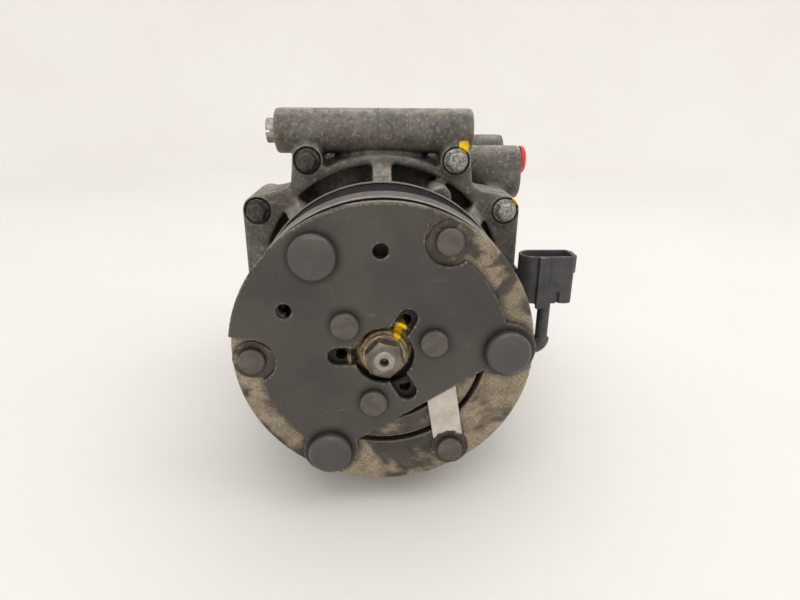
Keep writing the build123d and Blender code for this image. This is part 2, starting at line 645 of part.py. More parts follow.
with BuildPart() as housing_bolts:
    drums(3.7, FLANGE_FRONT - 5.9, FLANGE_FRONT - 5.4, BOLT_PLACES)
    hexes(8.0, FLANGE_FRONT - 5.4, FLANGE_FRONT, BOLT_PLACES, corner_angle=12)
    drums(5.7, FLANGE_FRONT - 0.6, FLANGE_FRONT + 1.0, BOLT_PLACES)
    drums(BOLT_RADIUS, FLANGE_FRONT + 1.0, BOLT_END, BOLT_PLACES)
save(housing_bolts, "housing_bolts")

# ---------------------------------------------------------------- rear housing


def port_boss(port):
    """Round boss pointing right, for a hose port or a clamp bolt."""
    bevelled_bar(port["boss"], port["start"], port["end"], port["y"], port["z"])


def port_passage(port, inner_end, well_radius, reach_down):
    """Drill a port inward from its boss, then a well from it down into the housing."""
    bar(port["bore"], inner_end, port["end"], port["y"], port["bore_z"], Mode.SUBTRACT)
    with BuildSketch(Plane.XY.offset(reach_down)) as well:
        with Locations((inner_end + well_radius + 1.0, port["y"])):
            Circle(well_radius)
    extrude(well.sketch, amount=port["bore_z"] - reach_down, mode=Mode.SUBTRACT)


with BuildPart() as rear_housing:
    turn(
        (CAVITY_RADIUS, PARTING), (RIM_RADIUS, PARTING), (RIM_RADIUS, 68.0), (SHELL_RADIUS, 74.0),
        (SHELL_RADIUS, 138.0), (SHELL_RADIUS - 8.0, BACK_FACE), (0, BACK_FACE), (0, 136.0),
        (CHAMBER_RADIUS, 136.0), (CHAMBER_RADIUS, FIXED_PLATE_BACK), (CAVITY_RADIUS, FIXED_PLATE_BACK),
    )
    drums(EAR_RADIUS, PARTING, 82.0, BOLT_PLACES)
    shoulders(PARTING, 70.0)
    for web_angle in range(0, 360, 20):
        with BuildSketch(radial_sheet(web_angle)) as web:
            with Locations((57.5, 107.0)):
                Rectangle(5.0, 66.0)
        extrude(web.sketch, amount=1.6, both=True)
    for port in (SUCTION, DISCHARGE, CLAMP):
        port_boss(port)
    bevelled_bar(SUCTION["boss"], SUCTION_FOOT["start"], SUCTION["end"], SUCTION["y"], SUCTION_FOOT["z"])
    foot_low = (SUCTION_FOOT["start"], SUCTION["y"] - SUCTION["boss"], SUCTION_FOOT["z"])
    foot_high = (SUCTION["end"] - 0.8, SUCTION["y"] + SUCTION["boss"], SUCTION["z"])
    block(foot_low, foot_high)
    block((46.5, CLAMP["y"] - 24.0, 12.0), (53.0, DISCHARGE["y"] + 4.0, 48.0))
    bevelled_bar(8.0, RELIEF["end"], -50.0, RELIEF["y"], RELIEF["z"])
    bevelled_bar(9.0, OIL["end"], -50.0, OIL["y"], OIL["z"])
    mounting_tube(TUBES["rear"])
    mounting_tube(TUBES["lower"])
    drums(BOLT_RADIUS, PARTING, BOLT_END, BOLT_PLACES, Mode.SUBTRACT)
    port_passage(SUCTION, 26.0, 5.0, 28.0)
    port_passage(DISCHARGE, 28.0, 4.0, 20.0)
    bar(CLAMP["bore"], CLAMP["end"] - CLAMP["depth"], CLAMP["end"], CLAMP["y"], CLAMP["z"], Mode.SUBTRACT)
    bar(5.0, RELIEF["end"], -40.0, RELIEF["y"], RELIEF["z"], Mode.SUBTRACT)
    bar(4.0, OIL["end"], -44.0, OIL["y"], OIL["z"], Mode.SUBTRACT)
save(rear_housing, "rear_housing")

with BuildPart() as relief_valve:
    bar(5.0, RELIEF["end"], -50.0, RELIEF["y"], RELIEF["z"])
    side_hex(14.0, RELIEF["end"] - 5.0, RELIEF["end"], RELIEF["y"], RELIEF["z"])
    bevelled_bar(5.2, RELIEF["end"] - 9.0, RELIEF["end"] - 5.0, RELIEF["y"], RELIEF["z"])
    bar(1.6, RELIEF["end"] - 9.0, -50.0, RELIEF["y"], RELIEF["z"], Mode.SUBTRACT)
save(relief_valve, "relief_valve")

with BuildPart() as oil_plug:
    bar(4.0, OIL["end"], -47.0, OIL["y"], OIL["z"])
    bevelled_bar(7.6, OIL["end"] - 1.2, OIL["end"], OIL["y"], OIL["z"], bevel=0.2)
    side_hex(13.0, OIL["end"] - 6.0, OIL["end"] - 1.2, OIL["y"], OIL["z"])
save(oil_plug, "oil_plug")


def split_sleeve(name, tube):
    """Spring-steel sleeve, slit along its front, standing proud of the left end of a tube."""
    left = tube["left"] - SLEEVE_PROUD
    with BuildPart() as sleeve:
        bar(SLEEVE_RADIUS - 0.05, left, left + SLEEVE_LENGTH - 0.5, tube["y"], tube["z"])
        bar(TUBE_BORE, left, left + SLEEVE_LENGTH - 0.5, tube["y"], tube["z"], Mode.SUBTRACT)
        slit_low = (left, tube["y"] - 6.0, tube["z"] - 0.5)
        slit_high = (left + SLEEVE_LENGTH, tube["y"] - 3.0, tube["z"] + 0.5)
        block(slit_low, slit_high, Mode.SUBTRACT)
    save(sleeve, name)


for place, tube in TUBES.items():
    split_sleeve(place + "_mount_sleeve", tube)


def dust_plug(name, port, flange):
    """Moulded transport plug: a stem in the port and a domed head outside."""
    stem_end = port["end"] - 12.0
    with BuildPart() as plug:
        bar(flange, port["end"], port["end"] + 2.8, port["y"], port["bore_z"])
        fillet(edges().filter_by(GeomType.CIRCLE).group_by(Axis.X)[-1], radius=2.2)
        bar(port["bore"] - 0.05, stem_end, port["end"], port["y"], port["bore_z"])
        bar(port["bore"] - 1.6, stem_end, port["end"] - 1.5, port["y"], port["bore_z"], Mode.SUBTRACT)
    save(plug, name)


dust_plug("suction_dust_plug", SUCTION, 7.4)
dust_plug("discharge_dust_plug", DISCHARGE, 6.0)

# ---------------------------------------------------------------- shaft and its bearings

with BuildPart() as crankshaft:
    turn(
        (0, SHAFT_FRONT), (3.5, SHAFT_FRONT), (4.0, SHAFT_FRONT + 0.5), (4.0, ARMATURE_FRONT),
        (7.3, ARMATURE_FRONT),
        (7.3, -8.8), (SHAFT_RADIUS, -8.8), (SHAFT_RADIUS, 40.0), (JOURNAL_RADIUS, 41.5),
        (JOURNAL_RADIUS, MAIN_BEARING_BACK + 0.3), (18.0, MAIN_BEARING_BACK + 0.3), (18.0, CRANK_BACK),
        (0, CRANK_BACK),
    )
    drums(6.0, CRANK_BACK, 71.0, [(ORBIT, 0)])
    turn(
        (0, SHAFT_FRONT), (1.7, SHAFT_FRONT), (1.2, SHAFT_FRONT + 1.3), (1.2, SHAFT_FRONT + 3.3),
        (0, SHAFT_FRONT + 4.0), mode=Mode.SUBTRACT,
    )
    block(*KEY, Mode.SUBTRACT)
save(crankshaft, "crankshaft")

with BuildPart() as counterweight:
    with BuildSketch(facing(69.0)) as weight_sketch:
        Circle(27.2)
        Circle(19.5, mode=Mode.SUBTRACT)
        with Locations((15, 0)):
            Rectangle(40, 60, mode=Mode.SUBTRACT)
    extrude(weight_sketch.sketch, amount=69.0 - MAIN_BEARING_BACK - 0.4)
    with BuildSketch(facing(CRANK_BACK)) as web_sketch:
        Circle(22.0)
        Circle(18.0, mode=Mode.SUBTRACT)
        with Locations((15, 0)):
            Rectangle(40, 60, mode=Mode.SUBTRACT)
    extrude(web_sketch.sketch, amount=CRANK_BACK - MAIN_BEARING_BACK - 0.4)
save(counterweight, "counterweight")

with BuildPart() as drive_bush:
    drums(BUSH_RADIUS, CRANK_BACK + 0.5, 71.0, [(ORBIT, 0)])
    drums(6.0, CRANK_BACK + 0.5, 71.0, [(ORBIT, 0)], Mode.SUBTRACT)
save(drive_bush, "drive_bush")

bearing_set(
    "main_bearing", JOURNAL_RADIUS, MAIN_SEAT, MAIN_BEARING_FRONT, MAIN_BEARING_BACK,
    row_depths=(49.5,), ball_radius=3.9, ball_count=10, land=2.2,
)

with BuildPart() as front_needle_shell:
    ring(10.7, 11.5, NEEDLE_FRONT, NEEDLE_BACK)
    ring(9.2, 10.7, NEEDLE_FRONT, NEEDLE_FRONT + 0.8)
    ring(9.2, 10.7, NEEDLE_BACK - 0.8, NEEDLE_BACK)
save(front_needle_shell, "front_needle_shell")

with BuildPart() as front_needles:
    needle_places = [polar(SHAFT_RADIUS + 1.08, 20 * k) for k in range(18)]
    drums(1.04, NEEDLE_FRONT + 1.0, NEEDLE_BACK - 1.0, needle_places)
save(front_needles, "front_needles")

with BuildPart() as shaft_seal:
    lip = SHAFT_RADIUS + 0.03
    turn(
        (SEAL_RADIUS, -5.0), (SEAL_RADIUS, 4.8), (9.4, 4.8), (lip, 2.5), (lip, 1.5),
        (10.4, 1.5), (10.4, -1.5), (lip, -2.5), (lip, -3.5), (9.6, -5.0),
    )
save(shaft_seal, "shaft_seal")

snap_ring("seal_snap_ring", 11.6, SEAL_RADIUS, -6.5, -5.0, 5.0)

# ---------------------------------------------------------------- scroll set


def involute_point(angle, offset, phase):
    """Point on an involute of the base circle, offset sideways, turned by a phase in degrees."""
    reach = INVOLUTE_BASE * angle + offset
    turned = angle + radians(phase)
    x = INVOLUTE_BASE * cos(turned) + reach * sin(turned)
    z = INVOLUTE_BASE * sin(turned) - reach * cos(turned)
    return (x, z)


def spiral(thick, trim, phase, centre, front, back, mode=Mode.ADD):
    """Spiral wall of even thickness about a centre, cut short at both ends by a trim angle."""
    steps = 40
    start = WRAP_START + trim
    end = WRAP_END - trim
    angles = [start + (end - start) * k / steps for k in range(steps + 1)]
    shift = Vector(centre[0], centre[1])
    with BuildSketch(facing(back)) as wall:
        with BuildLine():
            outer = Spline(*[shift + Vector(*involute_point(a, thick / 2, phase)) for a in angles])
            inner = Spline(*[shift + Vector(*involute_point(a, -thick / 2, phase)) for a in angles])
            Line(outer @ 0, inner @ 0)
            Line(outer @ 1, inner @ 1)
        make_face()
    extrude(wall.sketch, amount=back - front, mode=mode)


SEAL_WIDTH = 1.6
SEAL_DEPTH = 1.2
SEAL_PROUD = 0.1
SEAL_TRIM = 0.4
FIXED_TIP = ORBIT_PLATE_BACK + WRAP_GAP
ORBIT_TIP = FIXED_PLATE_FRONT - WRAP_GAP

with BuildPart() as fixed_scroll:
    ring(0, CAVITY_RADIUS - 0.1, FIXED_PLATE_FRONT, FIXED_PLATE_BACK)
    ring(43.3, CAVITY_RADIUS - 0.1, FIXED_TIP, FIXED_PLATE_FRONT)
    spiral(WRAP_THICK, 0, 0, (0, 0), FIXED_TIP, FIXED_PLATE_FRONT)
    spiral(SEAL_WIDTH, SEAL_TRIM, 0, (0, 0), FIXED_TIP, FIXED_TIP + SEAL_DEPTH, Mode.SUBTRACT)
    drums(4.5, FIXED_PLATE_FRONT, FIXED_PLATE_BACK, mode=Mode.SUBTRACT)
    drums(7.5, FIXED_TIP, 96.0, [polar(45.0, 46)], Mode.SUBTRACT)
    drums(2.1, FIXED_PLATE_BACK - 7.0, FIXED_PLATE_BACK, [(22.0, 0)], Mode.SUBTRACT)
save(fixed_scroll, "fixed_scroll")

with BuildPart() as orbiting_scroll:
    drums(ORBIT_PLATE_RADIUS, ORBIT_PLATE_FRONT, ORBIT_PLATE_BACK, [CRANK_PIN])
    drums(BOSS_RADIUS, CRANK_BACK + 0.5, ORBIT_PLATE_FRONT, [CRANK_PIN])
    drums(PIN_BEARING_RADIUS, CRANK_BACK + 0.5, 71.4, [CRANK_PIN], Mode.SUBTRACT)
    for place in GUIDE_RING_PLACES:
        drums(GUIDE_RING_RADIUS, ORBIT_PLATE_FRONT, GUIDE_RING_BACK, [place], Mode.SUBTRACT)
    spiral(WRAP_THICK, 0, 180, CRANK_PIN, ORBIT_PLATE_BACK, ORBIT_TIP)
    spiral(SEAL_WIDTH, SEAL_TRIM, 180, CRANK_PIN, ORBIT_TIP - SEAL_DEPTH, ORBIT_TIP, Mode.SUBTRACT)
save(orbiting_scroll, "orbiting_scroll")

with BuildPart() as fixed_tip_seal:
    spiral(SEAL_WIDTH, SEAL_TRIM, 0, (0, 0), FIXED_TIP - SEAL_PROUD, FIXED_TIP + SEAL_DEPTH)
save(fixed_tip_seal, "fixed_tip_seal")

with BuildPart() as orbiting_tip_seal:
    spiral(SEAL_WIDTH, SEAL_TRIM, 180, CRANK_PIN, ORBIT_TIP - SEAL_DEPTH, ORBIT_TIP + SEAL_PROUD)
save(orbiting_tip_seal, "orbiting_tip_seal")

with BuildPart() as orbit_bearing:
    drums(PIN_BEARING_RADIUS, CRANK_BACK + 0.5, 71.0, [CRANK_PIN])
    drums(BUSH_RADIUS + 0.05, CRANK_BACK + 0.5, 71.0, [CRANK_PIN], Mode.SUBTRACT)
save(orbit_bearing, "orbit_bearing")

with BuildPart() as guide_rings:
    ring_front = ORBIT_PLATE_FRONT + 0.1
    ring_bore = ORBIT + PIN_RADIUS + 0.05
    for place in GUIDE_RING_PLACES:
        drums(GUIDE_RING_RADIUS, ring_front, GUIDE_RING_BACK, [place])
        drums(ring_bore, ring_front, GUIDE_RING_BACK, [place], Mode.SUBTRACT)
save(guide_rings, "guide_rings")

with BuildPart() as guide_pins:
    drums(PIN_RADIUS, PIN_FRONT, PIN_BACK, GUIDE_PIN_PLACES)
save(guide_pins, "guide_pins")

with BuildPart() as thrust_plate:
    ring(28.5, CAVITY_RADIUS - 0.3, SPIGOT_BACK, ORBIT_PLATE_FRONT - 0.2)
    drums(PIN_RADIUS, SPIGOT_BACK, ORBIT_PLATE_FRONT, GUIDE_PIN_PLACES, Mode.SUBTRACT)
save(thrust_plate, "thrust_plate")

# ---------------------------------------------------------------- discharge valve

REED_THICK = 0.4
REED_BACK = FIXED_PLATE_BACK + 0.05 + REED_THICK
STOP_SEAT = REED_BACK + 0.05
REED_SCREW = [(22.0, 0)]
REED_SCREW_RADIUS = 2.1

with BuildPart() as discharge_reed:
    with BuildSketch(facing(REED_BACK)) as reed_sketch:
        Circle(6.0)
        with Locations((10.5, 0)):
            Rectangle(21.0, 6.0)
        with Locations(*REED_SCREW):
            Circle(4.0)
            Circle(REED_SCREW_RADIUS + 0.1, mode=Mode.SUBTRACT)
    extrude(reed_sketch.sketch, amount=REED_THICK)
save(discharge_reed, "discharge_reed")

with BuildPart() as reed_stop:
    with BuildSketch(Plane.XY) as stop_sketch:
        with BuildLine():
            Polyline(
                (26.0, STOP_SEAT), (26.0, STOP_SEAT + 2.5), (16.0, STOP_SEAT + 2.5),
                (-5.0, STOP_SEAT + 6.5), (-5.0, STOP_SEAT + 4.0), (16.0, STOP_SEAT),
                close=True,
            )
        make_face()
    extrude(stop_sketch.sketch, amount=4.0, both=True)
    drums(REED_SCREW_RADIUS, FIXED_PLATE_BACK, FIXED_PLATE_BACK + 8.0, REED_SCREW, Mode.SUBTRACT)
save(reed_stop, "reed_stop")

with BuildPart() as reed_screw:
    drums(REED_SCREW_RADIUS, FIXED_PLATE_BACK - 7.0, STOP_SEAT + 2.5, REED_SCREW)
    hexes(7.0, STOP_SEAT + 2.5, STOP_SEAT + 5.5, REED_SCREW)
save(reed_screw, "reed_screw")
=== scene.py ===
import json
import math

import bmesh
import bpy
from mathutils import Matrix, Vector, noise


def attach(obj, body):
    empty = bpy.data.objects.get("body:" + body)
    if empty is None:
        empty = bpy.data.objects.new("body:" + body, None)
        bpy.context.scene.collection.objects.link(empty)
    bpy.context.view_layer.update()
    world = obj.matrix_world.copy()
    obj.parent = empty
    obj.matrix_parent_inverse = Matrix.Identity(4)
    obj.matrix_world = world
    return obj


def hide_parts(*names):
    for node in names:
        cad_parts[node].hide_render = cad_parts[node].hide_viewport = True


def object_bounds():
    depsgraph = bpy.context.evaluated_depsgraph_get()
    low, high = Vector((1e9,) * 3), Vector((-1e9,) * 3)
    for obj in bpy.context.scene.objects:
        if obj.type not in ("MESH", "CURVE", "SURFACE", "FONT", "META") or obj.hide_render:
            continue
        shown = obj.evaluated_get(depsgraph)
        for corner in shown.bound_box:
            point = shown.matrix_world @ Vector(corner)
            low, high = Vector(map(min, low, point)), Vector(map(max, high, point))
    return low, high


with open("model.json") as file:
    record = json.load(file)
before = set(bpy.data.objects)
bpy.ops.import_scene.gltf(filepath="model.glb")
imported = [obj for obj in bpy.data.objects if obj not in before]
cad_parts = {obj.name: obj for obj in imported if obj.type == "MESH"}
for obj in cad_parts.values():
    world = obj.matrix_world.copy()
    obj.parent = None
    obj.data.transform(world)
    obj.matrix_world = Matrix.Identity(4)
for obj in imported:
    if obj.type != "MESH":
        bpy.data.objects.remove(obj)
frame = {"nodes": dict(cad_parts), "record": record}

# Visual model of an automotive air-conditioning compressor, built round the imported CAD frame.
# Metres. +Z is up, the clutch faces -Y, the hose ports and the coil connector are on +X.

BOX_AT_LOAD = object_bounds()
NODES = frame["nodes"]
MM = 0.001

# Half the width of a paint blob's and a paint dab's soft edge, in millimetres.
BLOB_EDGE = 0.12
DAB_EDGE = 0.15


def mm(*values):
    """Millimetres to a vector in metres."""
    return Vector(values) * MM


# ---------------------------------------------------------------- node materials


class Finish:
    """One procedural material, built from small parts that all read the piece's own coordinates."""

    def __init__(self, name, metallic=0.0, coat=0.0, specular=0.5):
        self.material = bpy.data.materials.new(name)
        self.material.use_nodes = True
        self.tree = self.material.node_tree
        self.tree.nodes.clear()
        self.output = self.tree.nodes.new("ShaderNodeOutputMaterial")
        self.shader = self.tree.nodes.new("ShaderNodeBsdfPrincipled")
        self.tree.links.new(self.shader.outputs["BSDF"], self.output.inputs["Surface"])
        self.shader.inputs["Metallic"].default_value = metallic
        self.shader.inputs["Coat Weight"].default_value = coat
        self.shader.inputs["Specular IOR Level"].default_value = specular
        self.coordinates = self.tree.nodes.new("ShaderNodeTexCoord").outputs["Object"]
        self.heights = []

    def link(self, source, target):
        self.tree.links.new(source, target)

    def node(self, kind, **settings):
        made = self.tree.nodes.new("ShaderNode" + kind)
        for key, value in settings.items():
            setattr(made, key, value)
        return made

    def feed(self, socket, value):
        """A socket takes either another node's output or a constant."""
        if isinstance(value, bpy.types.NodeSocket):
            self.link(value, socket)
        else:
            socket.default_value = value

    def place(self, scale, offset=(0, 0, 0)):
        """The piece's coordinates, stretched by a scale on each axis."""
        mapping = self.node("Mapping")
        self.link(self.coordinates, mapping.inputs["Vector"])
        mapping.inputs["Scale"].default_value = scale
        mapping.inputs["Location"].default_value = offset
        return mapping.outputs["Vector"]

    def noise(
        self, size_mm, detail=4.0, roughness=0.6, stretch=(1, 1, 1), distortion=0.0, offset=(0, 0, 0)
    ):
        """Cloudy noise whose blotches are about size_mm across."""
        made = self.node("TexNoise")
        self.link(self.place(stretch, offset), made.inputs["Vector"])
        made.inputs["Scale"].default_value = 1000.0 / size_mm
        made.inputs["Detail"].default_value = detail
        made.inputs["Roughness"].default_value = roughness
        made.inputs["Distortion"].default_value = distortion
        return made.outputs["Fac"]

    def clouds(self, size_mm, detail):
        """A soft even mask for drifting between two tones."""
        return self.band(self.noise(size_mm, detail), 0.35, 0.7)

    def math(self, operation, a, b=0.0, clamp=False):
        made = self.node("Math", operation=operation, use_clamp=clamp)
        self.feed(made.inputs[0], a)
        self.feed(made.inputs[1], b)
        return made.outputs[0]

    def times(self, a, b):
        return self.math("MULTIPLY", a, b)

    def band(self, value, low, high):
        """0 below low, 1 above high, and an even rise between them. It falls if low is above high."""
        made = self.node("MapRange", interpolation_type="SMOOTHSTEP")
        self.feed(made.inputs["Value"], value)
        flip = low > high
        made.inputs["From Min"].default_value = min(low, high)
        made.inputs["From Max"].default_value = max(low, high)
        made.inputs["To Min"].default_value = 1.0 if flip else 0.0
        made.inputs["To Max"].default_value = 0.0 if flip else 1.0
        return made.outputs["Result"]

    def scaled(self, value, low, high):
        """A 0 to 1 value spread over low to high."""
        made = self.node("MapRange")
        self.feed(made.inputs["Value"], value)
        made.inputs["To Min"].default_value = low
        made.inputs["To Max"].default_value = high
        return made.outputs["Result"]

    def mix(self, factor, a, b, blend="MIX"):
        made = self.node("MixRGB", blend_type=blend)
        self.feed(made.inputs["Fac"], factor)
        self.feed(made.inputs["Color1"], a)
        self.feed(made.inputs["Color2"], b)
        return made.outputs["Color"]

    def axis(self, name):
        made = self.node("SeparateXYZ")
        self.link(self.coordinates, made.inputs["Vector"])
        return made.outputs[name]

    def radius(self):
        """Distance from the shaft axis, in millimetres."""
        x = self.times(self.axis("X"), 1000.0)
        z = self.times(self.axis("Z"), 1000.0)
        square = self.math("ADD", self.times(x, x), self.times(z, z))
        return self.math("SQRT", square)

    def facing(self, name):
        """How far the surface faces along an axis of the piece."""
        texture = self.node("TexCoord")
        made = self.node("SeparateXYZ")
        self.link(texture.outputs["Normal"], made.inputs["Vector"])
        return made.outputs[name]

    def near(self, point_mm, radius_mm, ragged_mm, noise_mm):
        """1 inside a ragged blob round a point, 0 outside."""
        made = self.node("VectorMath", operation="DISTANCE")
        self.link(self.coordinates, made.inputs[0])
        made.inputs[1].default_value = mm(*point_mm)
        ragged = self.scaled(self.noise(noise_mm, 2.0), -ragged_mm * MM, ragged_mm * MM)
        distance = self.math("ADD", made.outputs["Value"], ragged)
        return self.band(distance, (radius_mm + BLOB_EDGE) * MM, (radius_mm - BLOB_EDGE) * MM)

    def dab(self, spots):
        """1 inside ragged dabs of paint on the clutch face, given as X, Z and radius in millimetres."""
        x = self.times(self.axis("X"), 1000.0)
        z = self.times(self.axis("Z"), 1000.0)
        ragged = self.scaled(self.noise(2.4, 2.0), -0.9, 0.9)
        cover = None
        for spot_x, spot_z, radius in spots:
            dx = self.math("SUBTRACT", x, spot_x)
            dz = self.math("SUBTRACT", z, spot_z)
            square = self.math("ADD", self.times(dx, dx), self.times(dz, dz))
            distance = self.math("ADD", self.math("SQRT", square), ragged)
            dab = self.band(distance, radius + DAB_EDGE, radius - DAB_EDGE)
            cover = dab if cover is None else self.math("MAXIMUM", cover, dab)
        return cover

    def corners(self, radius_mm, low=0.02, high=0.25):
        """1 along sharp outer edges, where a finish wears through and where edge highlights are painted.
        """
        bevel = self.node("Bevel", samples=4)
        bevel.inputs["Radius"].default_value = radius_mm * MM
        geometry = self.node("NewGeometry")
        made = self.node("VectorMath", operation="DOT_PRODUCT")
        self.link(bevel.outputs["Normal"], made.inputs[0])
        self.link(geometry.outputs["Normal"], made.inputs[1])
        return self.band(self.math("SUBTRACT", 1.0, made.outputs["Value"]), low, high)

    def crease_shade(self, distance_mm, low=0.55, high=0.95):
        """1 in corners and hollows, where the materials paint in shade."""
        made = self.node("AmbientOcclusion", samples=4)
        made.inputs["Distance"].default_value = distance_mm * MM
        return self.band(made.outputs["AO"], high, low)

    def height(self, value, distance_mm, strength=1.0):
        self.heights.append((value, distance_mm, strength))

    def finish(self, colour, roughness):
        self.feed(self.shader.inputs["Base Color"], colour)
        self.feed(self.shader.inputs["Roughness"], roughness)
        normal = None
        for value, distance_mm, strength in self.heights:
            bump = self.node("Bump")
            bump.inputs["Strength"].default_value = strength
            bump.inputs["Distance"].default_value = distance_mm * MM
            self.link(value, bump.inputs["Height"])
            if normal is not None:
                self.link(normal, bump.inputs["Normal"])
            normal = bump.outputs["Normal"]
        if normal is not None:
            self.link(normal, self.shader.inputs["Normal"])
        return self.material


def rgb(red, green, blue):
    """A display colour, 0 to 255 a channel, as a linear RGBA."""
    channels = [c / 255 for c in (red, green, blue)]
    linear = [c / 12.92 if c <= 0.04045 else ((c + 0.055) / 1.055) ** 2.4 for c in channels]
    return (*linear, 1.0)


# Inspection paint beside the centre nut: X, Z and radius of each dab, in millimetres.
NUT_PAINT = [(6.1, 10.3, 2.0), (4.9, 7.4, 1.5)]


def cover_steel():
    f = Finish("cover_steel", metallic=0.3, specular=0.3)
    tone = f.mix(f.clouds(38, 3.0), rgb(82, 78, 73), rgb(69, 66, 63))
    tone = f.mix(f.times(f.band(f.noise(3.2, 6.0), 0.58, 0.8), 0.35), tone, rgb(116, 109, 100))
    # Painted shade: the colour darkens toward black in corners and hollows.
    tone = f.mix(f.times(f.crease_shade(3.0), 0.7), tone, rgb(30, 28, 26))
    chips = f.times(f.corners(1.0, 0.005, 0.08), f.band(f.noise(1.6, 4.0), 0.44, 0.6))
    tone = f.mix(chips, tone, rgb(186, 178, 165))
    scratch = f.band(f.noise(2.2, 2.0, stretch=(0.12, 1, 1.6), distortion=1.5), 0.71, 0.74)
    tone = f.mix(f.times(scratch, 0.25), tone, rgb(150, 144, 134))
    dust = f.times(f.band(f.noise(0.5, 2.0, offset=(0.1, 0, 0)), 0.66, 0.72), 0.12)
    tone = f.mix(dust, tone, rgb(160, 150, 134))
    tone = f.mix(f.dab(NUT_PAINT), tone, rgb(244, 204, 14))
    f.height(f.noise(0.35, 3.0), 0.02, 0.5)
    f.height(f.noise(14, 2.0), 0.08, 0.4)
    return f.finish(tone, f.scaled(f.noise(9, 4.0), 0.42, 0.58))


def cap_steel():
    f = Finish("cap_steel", metallic=0.4, specular=0.6)
    tone = f.mix(f.clouds(12, 3.0), rgb(84, 80, 76), rgb(73, 70, 67))
    # Painted highlight: pale patches along the rounded edges, strongest on faces that look up toward the
    # top light.
    edge_chips_and_highlight = f.times(f.corners(1.6, 0.01, 0.12), f.band(f.noise(2.0, 4.0), 0.3, 0.6))
    upward = f.scaled(f.band(f.facing("Z"), 0.0, 0.5), 0.35, 0.9)
    tone = f.mix(f.times(edge_chips_and_highlight, upward), tone, rgb(142, 139, 134))
    # Painted shade: darker in corners and hollows.
    tone = f.mix(f.times(f.crease_shade(2.5), 0.75), tone, rgb(26, 24, 22))
    f.height(f.noise(0.4, 3.0), 0.02, 0.5)
    return f.finish(tone, f.scaled(f.noise(5, 4.0), 0.28, 0.42))


def rivet_steel():
    f = Finish("rivet_steel", metallic=0.4, specular=0.4)
    tone = f.mix(f.band(f.noise(4, 5.0), 0.35, 0.68), rgb(84, 79, 74), rgb(101, 95, 88))
    tone = f.mix(f.times(f.band(f.noise(0.9, 4.0), 0.6, 0.72), 0.5), tone, rgb(62, 56, 50))
    # Pale edges: worn chips with a painted highlight along them.
    edge_chips_and_highlight = f.times(f.corners(0.9, 0.01, 0.12), f.band(f.noise(1.4, 4.0), 0.36, 0.62))
    tone = f.mix(f.times(edge_chips_and_highlight, 0.75), tone, rgb(160, 152, 142))
    # Painted shade: darker in corners and hollows.
    tone = f.mix(f.times(f.crease_shade(2.0), 0.75), tone, rgb(28, 24, 21))
    f.height(f.noise(0.6, 4.0), 0.04, 0.7)
    return f.finish(tone, f.scaled(f.noise(2, 4.0), 0.4, 0.62))


def worn_plate_tone(f, patches):
    """Bare steel, smooth and brown in places and speckled with tan dust and gold flecks in others."""
    smooth = f.mix(f.clouds(8, 4.0), rgb(62, 57, 54), rgb(82, 75, 67))
    dusty = f.mix(f.clouds(5, 5.0), rgb(166, 153, 130), rgb(136, 124, 104))
    tone = f.mix(patches, smooth, dusty)
    grain = f.band(f.noise(0.55, 3.0, 0.7), 0.5, 0.62)
    tone = f.mix(f.times(grain, f.scaled(patches, 0.15, 0.7)), tone, rgb(58, 51, 43))
    flecks = f.band(f.noise(0.7, 2.0, offset=(0.4, 0, 0)), 0.6, 0.68)
    return f.mix(f.times(flecks, f.scaled(patches, 0.15, 0.8)), tone, rgb(206, 188, 140)), grain


def armature_steel():
    f = Finish("armature_steel", metallic=0.25, specular=0.4)
    patches = f.band(f.noise(24, 4.0, distortion=0.6, offset=(0.013, 0, 0.021)), 0.44, 0.56)
    tone, grain = worn_plate_tone(f, patches)
    tone = f.mix(f.times(f.corners(1.0, 0.005, 0.1), 0.8), tone, rgb(176, 168, 154))
    # Painted shade: darker in corners and hollows.
    tone = f.mix(f.times(f.crease_shade(3.0), 0.65), tone, rgb(36, 31, 26))
    f.height(grain, 0.05, 0.8)
    f.height(f.noise(2.5, 4.0), 0.08, 0.5)
    return f.finish(tone, f.scaled(patches, 0.42, 0.72))


# The rivet at the end of the clean strip: X, Z and the radius of the dull eye round it, in millimetres.
STRIP_RIVET = [(25.65, -41.05, 7.6)]


def spring_strip():
    f = Finish("spring_strip", metallic=0.5, specular=0.5)
    dull, grain = worn_plate_tone(f, f.band(f.noise(9, 4.0, offset=(0.5, 0, 0)), 0.54, 0.7))
    clean = f.mix(f.clouds(6, 4.0), rgb(204, 197, 187), rgb(182, 173, 162))
    clean = f.mix(f.times(f.band(f.noise(1.0, 4.0), 0.62, 0.74), 0.4), clean, rgb(140, 126, 108))
    lower_right = f.band(f.math("SUBTRACT", f.axis("X"), f.axis("Z")), 0.018, 0.026)
    round_rivet = f.dab(STRIP_RIVET)
    tone = f.mix(f.math("SUBTRACT", lower_right, round_rivet, clamp=True), dull, clean)
    # Painted shade: darker in corners and hollows.
    tone = f.mix(f.times(f.crease_shade(1.6), 0.7), tone, rgb(60, 52, 44))
    f.height(grain, 0.03, 0.5)
    f.height(f.noise(0.5, 3.0, stretch=(1, 1, 0.1)), 0.02, 0.5)
    return f.finish(tone, f.scaled(f.noise(3, 4.0), 0.32, 0.5))


